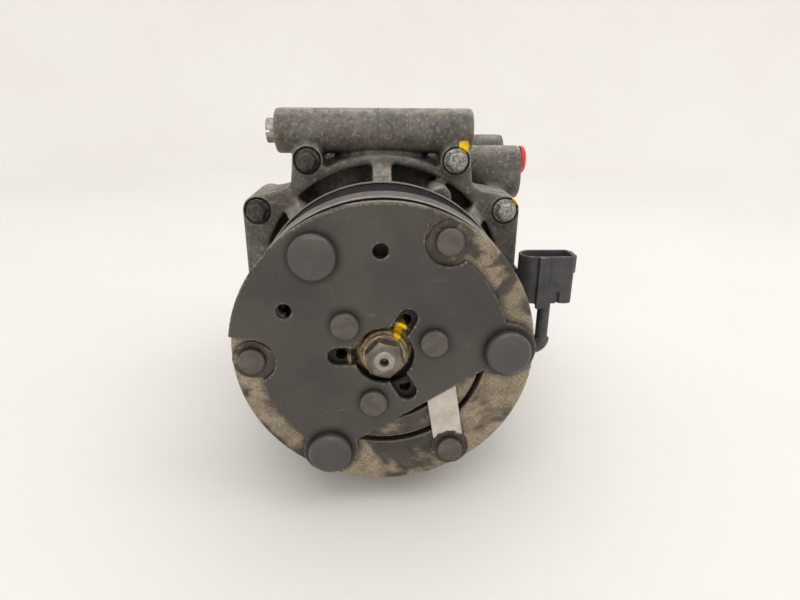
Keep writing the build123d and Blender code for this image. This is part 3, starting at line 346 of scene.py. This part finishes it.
def hub_steel():
    f = Finish("hub_steel", metallic=0.3, specular=0.3)
    rust = f.band(f.noise(4, 5.0, offset=(0.2, 0, 0.1)), 0.44, 0.58)
    upper = f.band(f.math("ADD", f.axis("Z"), f.times(f.axis("X"), -0.5)), -0.006, 0.001)
    ring = f.band(f.radius(), 14.2, 13.0)
    washer = f.times(f.band(f.radius(), 10.6, 10.0), f.band(f.noise(3, 5.0), 0.36, 0.5))
    worn = f.math("MAXIMUM", f.times(f.times(rust, upper), ring), washer)
    tone = f.mix(worn, rgb(36, 33, 31), rgb(162, 142, 104))
    tone = f.mix(f.times(f.band(f.noise(0.6, 3.0), 0.55, 0.65), 0.5), tone, rgb(24, 22, 20))
    tone = f.mix(f.times(f.corners(0.3), 0.5), tone, rgb(120, 108, 88))
    tone = f.mix(f.dab(NUT_PAINT), tone, rgb(244, 204, 14))
    f.height(f.noise(0.7, 4.0), 0.06, 0.8)
    return f.finish(tone, f.scaled(worn, 0.45, 0.75))


def nut_steel():
    f = Finish("nut_steel", metallic=0.75, specular=0.5)
    tone = f.mix(f.band(f.noise(3.5, 4.0), 0.4, 0.7), rgb(96, 90, 84), rgb(124, 116, 107))
    bright = f.times(f.corners(0.8, 0.01, 0.18), f.band(f.noise(1.6, 4.0), 0.3, 0.6))
    tone = f.mix(bright, tone, rgb(215, 208, 198))
    tone = f.mix(f.times(f.band(f.noise(0.8, 3.0), 0.62, 0.72), 0.7), tone, rgb(52, 46, 40))
    rim = f.times(f.band(f.radius(), 6.9, 7.3), f.band(f.noise(2.5, 5.0), 0.3, 0.55))
    tone = f.mix(f.times(rim, 0.8), tone, rgb(168, 154, 126))
    tone = f.mix(f.dab(NUT_PAINT), tone, rgb(244, 204, 14))
    f.height(f.noise(0.7, 4.0), 0.04, 0.7)
    return f.finish(tone, f.scaled(f.noise(1.5, 4.0), 0.26, 0.5))


def shaft_steel():
    f = Finish("shaft_steel", metallic=0.85, specular=0.5)
    turned = f.noise(0.25, 2.0, stretch=(0.05, 1, 0.05))
    tone = f.mix(f.clouds(4, 4.0), rgb(168, 160, 150), rgb(138, 130, 121))
    # Painted shade: darker in corners and hollows.
    tone = f.mix(f.times(f.crease_shade(1.5, 0.5, 0.9), 0.9), tone, rgb(40, 32, 24))
    f.height(turned, 0.02, 0.6)
    return f.finish(tone, f.scaled(turned, 0.24, 0.42))


def ground_steel():
    f = Finish("ground_steel", metallic=1.0)
    streak = f.noise(0.2, 2.0, stretch=(0.04, 1, 0.04))
    tone = f.mix(f.band(f.noise(7, 3.0), 0.3, 0.7), rgb(190, 188, 184), rgb(168, 166, 162))
    f.height(streak, 0.01, 0.5)
    return f.finish(tone, f.scaled(streak, 0.14, 0.28))


# Inspection paint on the two right-hand ears: where each spot is, and its radius, in millimetres.
PAINT_SPOTS = [((38.2, 43.6, 67.4), 2.7), ((64.2, 43.6, 42.4), 2.4)]


def cast_housing():
    f = Finish("cast_housing", metallic=0.25, specular=0.35)
    clouds = f.noise(16, 6.0, 0.62)
    blotch = f.noise(5.5, 5.0, 0.65, offset=(0.07, 0.03, 0.0))
    tone = f.mix(f.band(clouds, 0.3, 0.7), rgb(176, 170, 158), rgb(140, 135, 125))
    tone = f.mix(f.times(f.band(blotch, 0.42, 0.66), 0.7), tone, rgb(90, 86, 80))
    shade = f.times(f.band(f.facing("Y"), -0.35, -0.85), 0.7)
    tone = f.mix(shade, tone, rgb(70, 68, 65))
    brown = f.times(f.band(f.noise(9, 5.0, offset=(0.3, 0.1, 0.2)), 0.5, 0.68), 0.6)
    tone = f.mix(brown, tone, rgb(104, 92, 76))
    # Painted highlight: pale broken patches along the edges.
    edge_highlight = f.times(f.corners(2.2, 0.01, 0.14), f.band(f.noise(2.4, 5.0), 0.4, 0.62))
    tone = f.mix(f.times(edge_highlight, 0.75), tone, rgb(180, 174, 162))
    grains = f.noise(0.7, 4.0, 0.7)
    tone = f.mix(f.times(f.band(grains, 0.53, 0.66), 0.6), tone, rgb(56, 53, 49))
    pale = f.band(f.noise(1.6, 5.0, 0.7, offset=(0.6, 0, 0)), 0.5, 0.72)
    tone = f.mix(f.times(pale, 0.4), tone, rgb(196, 191, 178))
    # Painted shade: near black in the window pockets and other hollows.
    tone = f.mix(f.times(f.crease_shade(16.0, 0.3, 0.85), 0.95), tone, rgb(24, 22, 21))
    seam = f.band(f.math("ABSOLUTE", f.math("ADD", f.axis("X"), 0.0015)), 0.0006, 0.0002)
    on_tube = f.times(seam, f.band(f.axis("Z"), 0.066, 0.068))
    tone = f.mix(f.times(on_tube, 0.35), tone, rgb(84, 80, 74))
    for spot, size in PAINT_SPOTS:
        tone = f.mix(f.near(spot, size, 1.3, 2.4), tone, rgb(240, 200, 16))
    f.height(grains, 0.07, 0.8)
    f.height(blotch, 0.25, 0.5)
    f.height(on_tube, 0.15, 0.6)
    return f.finish(tone, f.scaled(blotch, 0.5, 0.78))


def pulley_coat():
    f = Finish("pulley_coat", metallic=0.2, specular=0.3)
    radius = f.radius()
    lip = f.band(radius, 55.3, 55.6)
    front = f.band(f.axis("Y"), -0.0262, -0.0270)
    coat = f.mix(f.clouds(10, 4.0), rgb(24, 24, 31), rgb(19, 19, 24))
    coat = f.mix(f.times(f.band(f.noise(1.1, 4.0), 0.62, 0.76), 0.3), coat, rgb(70, 66, 64))
    # Painted sheen: the outer lip is drawn bright grey like bare steel, standing in for the coat's sheen
    # under the top light.
    lip_sheen = f.mix(f.clouds(3, 5.0), rgb(118, 114, 108), rgb(92, 88, 83))
    tone = f.mix(lip, coat, lip_sheen)
    tone = f.mix(f.times(front, 0.8), tone, rgb(70, 62, 54))
    # Painted highlight: thin bright lines along the lip's edges.
    edge_highlight = f.times(f.corners(0.9, 0.01, 0.12), f.scaled(lip, 0.03, 0.9))
    tone = f.mix(edge_highlight, tone, rgb(206, 202, 194))
    # Painted shade: darker in corners and hollows.
    tone = f.mix(f.times(f.crease_shade(2.0, 0.3, 0.8), 0.6), tone, rgb(18, 16, 15))
    f.height(f.noise(0.3, 2.0, stretch=(0.08, 1, 0.08)), 0.02, 0.5)
    return f.finish(tone, f.scaled(f.noise(4, 4.0), 0.38, 0.55))


def coated_steel(name, tone_a, tone_b, metallic=0.3):
    f = Finish(name, metallic=metallic)
    tone = f.mix(f.clouds(7, 4.0), tone_a, tone_b)
    tone = f.mix(f.times(f.corners(0.4), 0.5), tone, rgb(140, 136, 130))
    f.height(f.noise(0.5, 3.0), 0.03, 0.5)
    return f.finish(tone, f.scaled(f.noise(3, 4.0), 0.35, 0.55))


def zinc_screws():
    f = Finish("zinc_screws", metallic=0.55)
    # The screws on the left (-X) are drawn darker than those on the right.
    side = f.band(f.axis("X"), -0.012, 0.012)
    bright = f.mix(f.band(f.noise(1.4, 5.0, 0.7), 0.42, 0.6), rgb(176, 174, 166), rgb(112, 110, 105))
    bright = f.mix(f.times(f.band(f.noise(0.6, 3.0), 0.58, 0.66), 0.6), bright, rgb(214, 212, 204))
    left_tone = f.mix(f.band(f.noise(1.2, 5.0, 0.7), 0.42, 0.62), rgb(58, 55, 51), rgb(88, 85, 79))
    tone = f.mix(side, left_tone, bright)
    # Painted shade: darker in corners and hollows.
    tone = f.mix(f.times(f.crease_shade(2.2, 0.45, 0.92), 0.85), tone, rgb(30, 27, 24))
    f.height(f.noise(0.6, 4.0), 0.06, 0.8)
    return f.finish(tone, f.scaled(f.noise(1.5, 4.0), 0.38, 0.62))


def bush_steel():
    f = Finish("bush_steel", metallic=0.7)
    tone = f.mix(f.clouds(3, 4.0), rgb(178, 172, 163), rgb(138, 130, 120))
    tone = f.mix(f.times(f.band(f.noise(1.2, 4.0), 0.56, 0.7), 0.6), tone, rgb(112, 92, 72))
    # Painted shade: darker in corners and hollows.
    tone = f.mix(f.times(f.crease_shade(1.5), 0.7), tone, rgb(38, 32, 27))
    f.height(f.noise(0.5, 3.0), 0.03, 0.6)
    return f.finish(tone, f.scaled(f.noise(2, 4.0), 0.3, 0.5))


def moulded(name, tone_a, tone_b, rough_low, rough_high, subsurface=0.0, dust=None):
    """Moulded plastic or rubber with a fine grain, and dust in its upward faces if it has any."""
    f = Finish(name, specular=0.4)
    if subsurface:
        f.shader.inputs["Subsurface Weight"].default_value = subsurface
        f.shader.inputs["Subsurface Scale"].default_value = 0.002
    tone = f.mix(f.clouds(6, 4.0), tone_a, tone_b)
    if dust is not None:
        settled = f.times(f.band(f.facing("Z"), 0.2, 0.9), f.band(f.noise(2.5, 5.0), 0.4, 0.65))
        tone = f.mix(f.times(settled, 0.45), tone, dust)
    # Painted shade: darker in corners and hollows.
    tone = f.mix(f.times(f.crease_shade(2.0), 0.45), tone, rgb(16, 15, 15))
    f.height(f.noise(0.5, 3.0), 0.025, 0.5)
    return f.finish(tone, f.scaled(f.noise(3, 4.0), rough_low, rough_high))


def milled_aluminium():
    f = Finish("milled_aluminium", metallic=0.9)
    cutter = f.noise(0.4, 2.0, stretch=(1, 1, 0.15))
    tone = f.mix(f.band(f.noise(9, 3.0), 0.3, 0.7), rgb(196, 196, 193), rgb(178, 178, 176))
    f.height(cutter, 0.02, 0.6)
    return f.finish(tone, f.scaled(cutter, 0.26, 0.4))


def copper_wire():
    f = Finish("copper_wire", metallic=0.8, coat=0.3)
    turns = f.node("TexWave", wave_type="BANDS", bands_direction="Y")
    f.link(f.coordinates, turns.inputs["Vector"])
    turns.inputs["Scale"].default_value = 320.0
    turns.inputs["Distortion"].default_value = 0.4
    tone = f.mix(turns.outputs["Fac"], rgb(120, 60, 30), rgb(206, 120, 68))
    f.height(turns.outputs["Fac"], 0.3, 0.8)
    return f.finish(tone, f.scaled(f.noise(2), 0.25, 0.4))


FINISHES = {
    cover_steel(): ["cover_plate"],
    cap_steel(): ["damper_caps"],
    rivet_steel(): ["outer_rivets", "inner_rivets"],
    armature_steel(): ["armature_plate"],
    spring_strip(): ["leaf_springs", "air_gap_shims", "discharge_reed", "reed_stop"],
    hub_steel(): ["hub"],
    nut_steel(): ["shaft_nut"],
    shaft_steel(): [
        "crankshaft", "counterweight", "drive_bush", "shaft_key", "nose_snap_ring", "coil_snap_ring",
        "seal_snap_ring",
    ],
    ground_steel(): [
        "pulley_bearing_inner_race", "pulley_bearing_outer_race", "pulley_bearing_balls",
        "main_bearing_inner_race", "main_bearing_outer_race", "main_bearing_balls", "orbit_bearing",
        "front_needles", "front_needle_shell", "guide_rings", "guide_pins", "thrust_plate",
    ],
    cast_housing(): ["front_housing", "rear_housing"],
    pulley_coat(): ["pulley"],
    coated_steel("coil_coat", rgb(46, 46, 50), rgb(34, 34, 37)): ["coil_core"],
    coated_steel("bracket_coat", rgb(70, 68, 66), rgb(54, 52, 50)): ["connector_bracket"],
    coated_steel("plug_plate", rgb(150, 142, 122), rgb(120, 112, 98), metallic=0.7): [
        "relief_valve", "oil_plug", "reed_screw", "bracket_screw",
    ],
    zinc_screws(): ["housing_bolts"],
    bush_steel(): ["front_mount_sleeve", "rear_mount_sleeve", "lower_mount_sleeve"],
    milled_aluminium(): ["fixed_scroll", "orbiting_scroll"],
    copper_wire(): ["coil_winding"],
    moulded("potting_resin", rgb(30, 30, 32), rgb(22, 22, 24), 0.25, 0.4): ["coil_potting"],
    moulded("cage_plastic", rgb(168, 152, 118), rgb(150, 135, 104), 0.35, 0.5): [
        "pulley_bearing_cage", "main_bearing_cage",
    ],
    moulded("tip_seal_plastic", rgb(92, 70, 50), rgb(78, 58, 42), 0.4, 0.55): [
        "fixed_tip_seal", "orbiting_tip_seal",
    ],
    moulded("black_rubber", rgb(34, 33, 32), rgb(24, 23, 23), 0.5, 0.72): [
        "rubber_stops", "housing_seal", "shaft_seal", "pulley_bearing_seals",
    ],
    moulded("connector_plastic", rgb(72, 72, 71), rgb(58, 58, 59), 0.36, 0.54, dust=rgb(132, 129, 124)): [
        "coil_connector",
    ],
    moulded("pink_silicone", rgb(232, 120, 124), rgb(214, 98, 104), 0.35, 0.5, subsurface=0.3): [
        "connector_seal",
    ],
    coated_steel("terminal_tin", rgb(196, 186, 160), rgb(170, 158, 130), metallic=0.9): [
        "connector_terminals",
    ],
    moulded("red_plastic", rgb(232, 58, 52), rgb(214, 44, 42), 0.3, 0.45, subsurface=0.15): [
        "suction_dust_plug", "discharge_dust_plug",
    ],
}
FINISH_OF = {node: finish for finish, names in FINISHES.items() for node in names}
BODY_OF = {node: body for body, names in frame["record"]["behaviour"]["bodies"].items() for node in names}

for node_name, node_object in NODES.items():
    node_object.data.materials.clear()
    node_object.data.materials.append(FINISH_OF[node_name])

# ---------------------------------------------------------------- pieces with worn and blended corners

# Node: voxel size in mm, smoothing passes, share of the faces kept, and height in mm of the cast waviness.
WORN = {
    "front_housing": (0.8, 7, 0.3, 0.16),
    "rear_housing": (0.9, 6, 0.3, 0.16),
    "cover_plate": (0.4, 2, 0.3, 0.0),
    "armature_plate": (0.5, 2, 0.3, 0.0),
    "damper_caps": (0.35, 3, 0.4, 0.0),
    "outer_rivets": (0.3, 3, 0.4, 0.03),
    "inner_rivets": (0.3, 3, 0.4, 0.03),
    "shaft_nut": (0.2, 4, 0.5, 0.02),
    "housing_bolts": (0.4, 2, 0.35, 0.03),
    "coil_connector": (0.35, 2, 0.35, 0.0),
    "front_mount_sleeve": (0.25, 2, 0.5, 0.0),
    "suction_dust_plug": (0.25, 3, 0.5, 0.0),
}


# The bores the mounting sleeves slide in: where each starts on the left, its height along Y and Z, in mm.
SLEEVE_BORES = {
    "front_housing": [(-49.5, 52.5, 73.6)],
    "rear_housing": [(-46.1, 105.5, 59.1), (-44.0, 105.5, -58.7)],
}
# Waves per metre in the cast surface.
WAVE_BROAD = 220.0
WAVE_FINE = 600.0
BORE_DEPTH = 20.6
BORE_RADIUS = 6.1
BORE_LIP = 4.45


def open_bores(mesh, node_name):
    """Push the wall of each sleeve bore back out after the smoothing, so that the sleeve slides freely."""
    for left, y, z in SLEEVE_BORES.get(node_name, []):
        for vertex in mesh.vertices:
            if not left - 0.5 < vertex.co.x / MM < left + BORE_DEPTH:
                continue
            across = Vector((0, vertex.co.y - y * MM, vertex.co.z - z * MM))
            if BORE_LIP < across.length / MM < BORE_RADIUS:
                vertex.co += across * (BORE_RADIUS * MM / across.length - 1)


def worn_copy(node_name):
    """A copy of a CAD node with its corners worn round, its hollows filleted and a cast waviness."""
    voxel, passes, kept, wave = WORN[node_name]
    source = NODES[node_name]
    draft = bpy.data.objects.new("draft", source.data.copy())
    draft.data.transform(source.matrix_world)
    bpy.context.scene.collection.objects.link(draft)
    weld = draft.modifiers.new("weld", "WELD")
    weld.merge_threshold = 1e-6
    remesh = draft.modifiers.new("remesh", "REMESH")
    remesh.mode = "VOXEL"
    remesh.voxel_size = voxel * MM
    smooth = draft.modifiers.new("smooth", "SMOOTH")
    smooth.factor = 0.5
    smooth.iterations = passes
    thin = draft.modifiers.new("thin", "DECIMATE")
    thin.ratio = kept
    bpy.context.view_layer.update()
    made = bpy.data.meshes.new_from_object(draft.evaluated_get(bpy.context.evaluated_depsgraph_get()))
    bpy.data.objects.remove(draft)
    made.materials.clear()
    made.materials.append(FINISH_OF[node_name])
    if wave:
        places = []
        for vertex in made.vertices:
            drift = noise.noise(vertex.co * WAVE_BROAD) + 0.5 * noise.noise(vertex.co * WAVE_FINE)
            places.extend(vertex.co - vertex.normal * wave * MM * (0.8 + 0.5 * drift))
        made.vertices.foreach_set("co", places)
    open_bores(made, node_name)
    made.polygons.foreach_set("use_smooth", [True] * len(made.polygons))
    made.update()
    piece = bpy.data.objects.new("worn_" + node_name, made)
    bpy.context.scene.collection.objects.link(piece)
    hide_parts(node_name)
    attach(piece, BODY_OF[node_name])
    return piece


for node_name in WORN:
    worn_copy(node_name)

# ---------------------------------------------------------------- camera, stage and lights


def look_from(location, forward, right):
    """Camera matrix from where it stands, where it looks and its right-hand side."""
    forward = Vector(forward).normalized()
    right = (Vector(right) - forward * forward.dot(Vector(right))).normalized()
    up = right.cross(forward)
    turn = Matrix((right, up, -forward)).transposed().to_4x4()
    return Matrix.Translation(Vector(location)) @ turn


CAMERA_PLACE = (-0.001635, -0.219427, 0.089878)
CAMERA_FORWARD = (0.0375, 0.9358, -0.3504)
CAMERA_RIGHT = (0.99927, -0.03764, 0.00638)
FOCAL_LENGTH = 24.75
SENSOR_WIDTH = 36.0

lens = bpy.data.cameras.new("camera")
lens.lens = FOCAL_LENGTH
lens.sensor_width = SENSOR_WIDTH
lens.clip_start = 0.01
camera = bpy.data.objects.new("camera", lens)
bpy.context.scene.collection.objects.link(camera)
camera.matrix_world = look_from(CAMERA_PLACE, CAMERA_FORWARD, CAMERA_RIGHT)
bpy.context.scene.camera = camera

FLOOR = BOX_AT_LOAD[0][2]
FLAT_REACH = 1.0
SWEEP_RADIUS = 0.5
SWEEP_STEPS = 12
WALL_TOP = 2.2
STAGE_STEPS = 96


def add_stage():
    """Pale floor that sweeps up into a round wall, the same from every side."""
    profile = [(0.6, 0.0), (FLAT_REACH, 0.0)]
    for k in range(1, SWEEP_STEPS + 1):
        angle = math.radians(90 * k / SWEEP_STEPS)
        out = FLAT_REACH + SWEEP_RADIUS * math.sin(angle)
        profile.append((out, SWEEP_RADIUS - SWEEP_RADIUS * math.cos(angle)))
    profile.append((FLAT_REACH + SWEEP_RADIUS, WALL_TOP))
    mesh = bmesh.new()
    rings = []
    for radius, height in profile:
        ring = []
        for k in range(STAGE_STEPS):
            angle = 2 * math.pi * k / STAGE_STEPS
            place = (radius * math.cos(angle), radius * math.sin(angle), FLOOR + height)
            ring.append(mesh.verts.new(place))
        rings.append(ring)
    mesh.faces.new(rings[0])
    for low, high in zip(rings, rings[1:]):
        for k in range(STAGE_STEPS):
            after = (k + 1) % STAGE_STEPS
            mesh.faces.new((low[k], low[after], high[after], high[k]))
    bmesh.ops.recalc_face_normals(mesh, faces=mesh.faces)
    data = bpy.data.meshes.new("stage")
    mesh.to_mesh(data)
    mesh.free()
    for polygon in data.polygons:
        polygon.use_smooth = True
    floor = bpy.data.objects.new("stage", data)
    bpy.context.scene.collection.objects.link(floor)
    f = Finish("stage_paper", specular=0.2)
    tone = f.mix(f.band(f.noise(300, 2.0), 0.3, 0.7), rgb(239, 236, 233), rgb(236, 233, 229))
    floor.data.materials.append(f.finish(tone, f.scaled(f.noise(80), 0.7, 0.8)))


def add_light(name, location, target, size, power, colour):
    """Soft square lamp that looks at a point."""
    lamp = bpy.data.lights.new(name, "AREA")
    lamp.shape = "SQUARE"
    lamp.size = size
    lamp.energy = power
    lamp.color = colour
    holder = bpy.data.objects.new(name, lamp)
    bpy.context.scene.collection.objects.link(holder)
    holder.location = location
    direction = Vector(target) - Vector(location)
    holder.rotation_euler = direction.to_track_quat("-Z", "Y").to_euler()
    holder.visible_camera = False
    return holder


add_stage()
add_light("top_soft", (0.15, 0.2, 1.4), (0, 0.05, 0), 2.0, 12.0, (1.0, 1.0, 1.0))
add_light("front_fill", (-0.3, -1.2, 1.1), (0, 0, -0.05), 1.2, 7.3, (1.0, 1.0, 1.0))
add_light("right_fill", (1.0, -0.4, 1.35), (0, 0, 0), 0.7, 2.5, (1.0, 0.99, 0.98))

world = bpy.data.worlds.new("studio")
world.use_nodes = True
world.node_tree.nodes["Background"].inputs["Color"].default_value = (0.97, 0.985, 1.0, 1.0)
world.node_tree.nodes["Background"].inputs["Strength"].default_value = 0.52
bpy.context.scene.world = world
bpy.context.scene.view_settings.view_transform = "Standard"
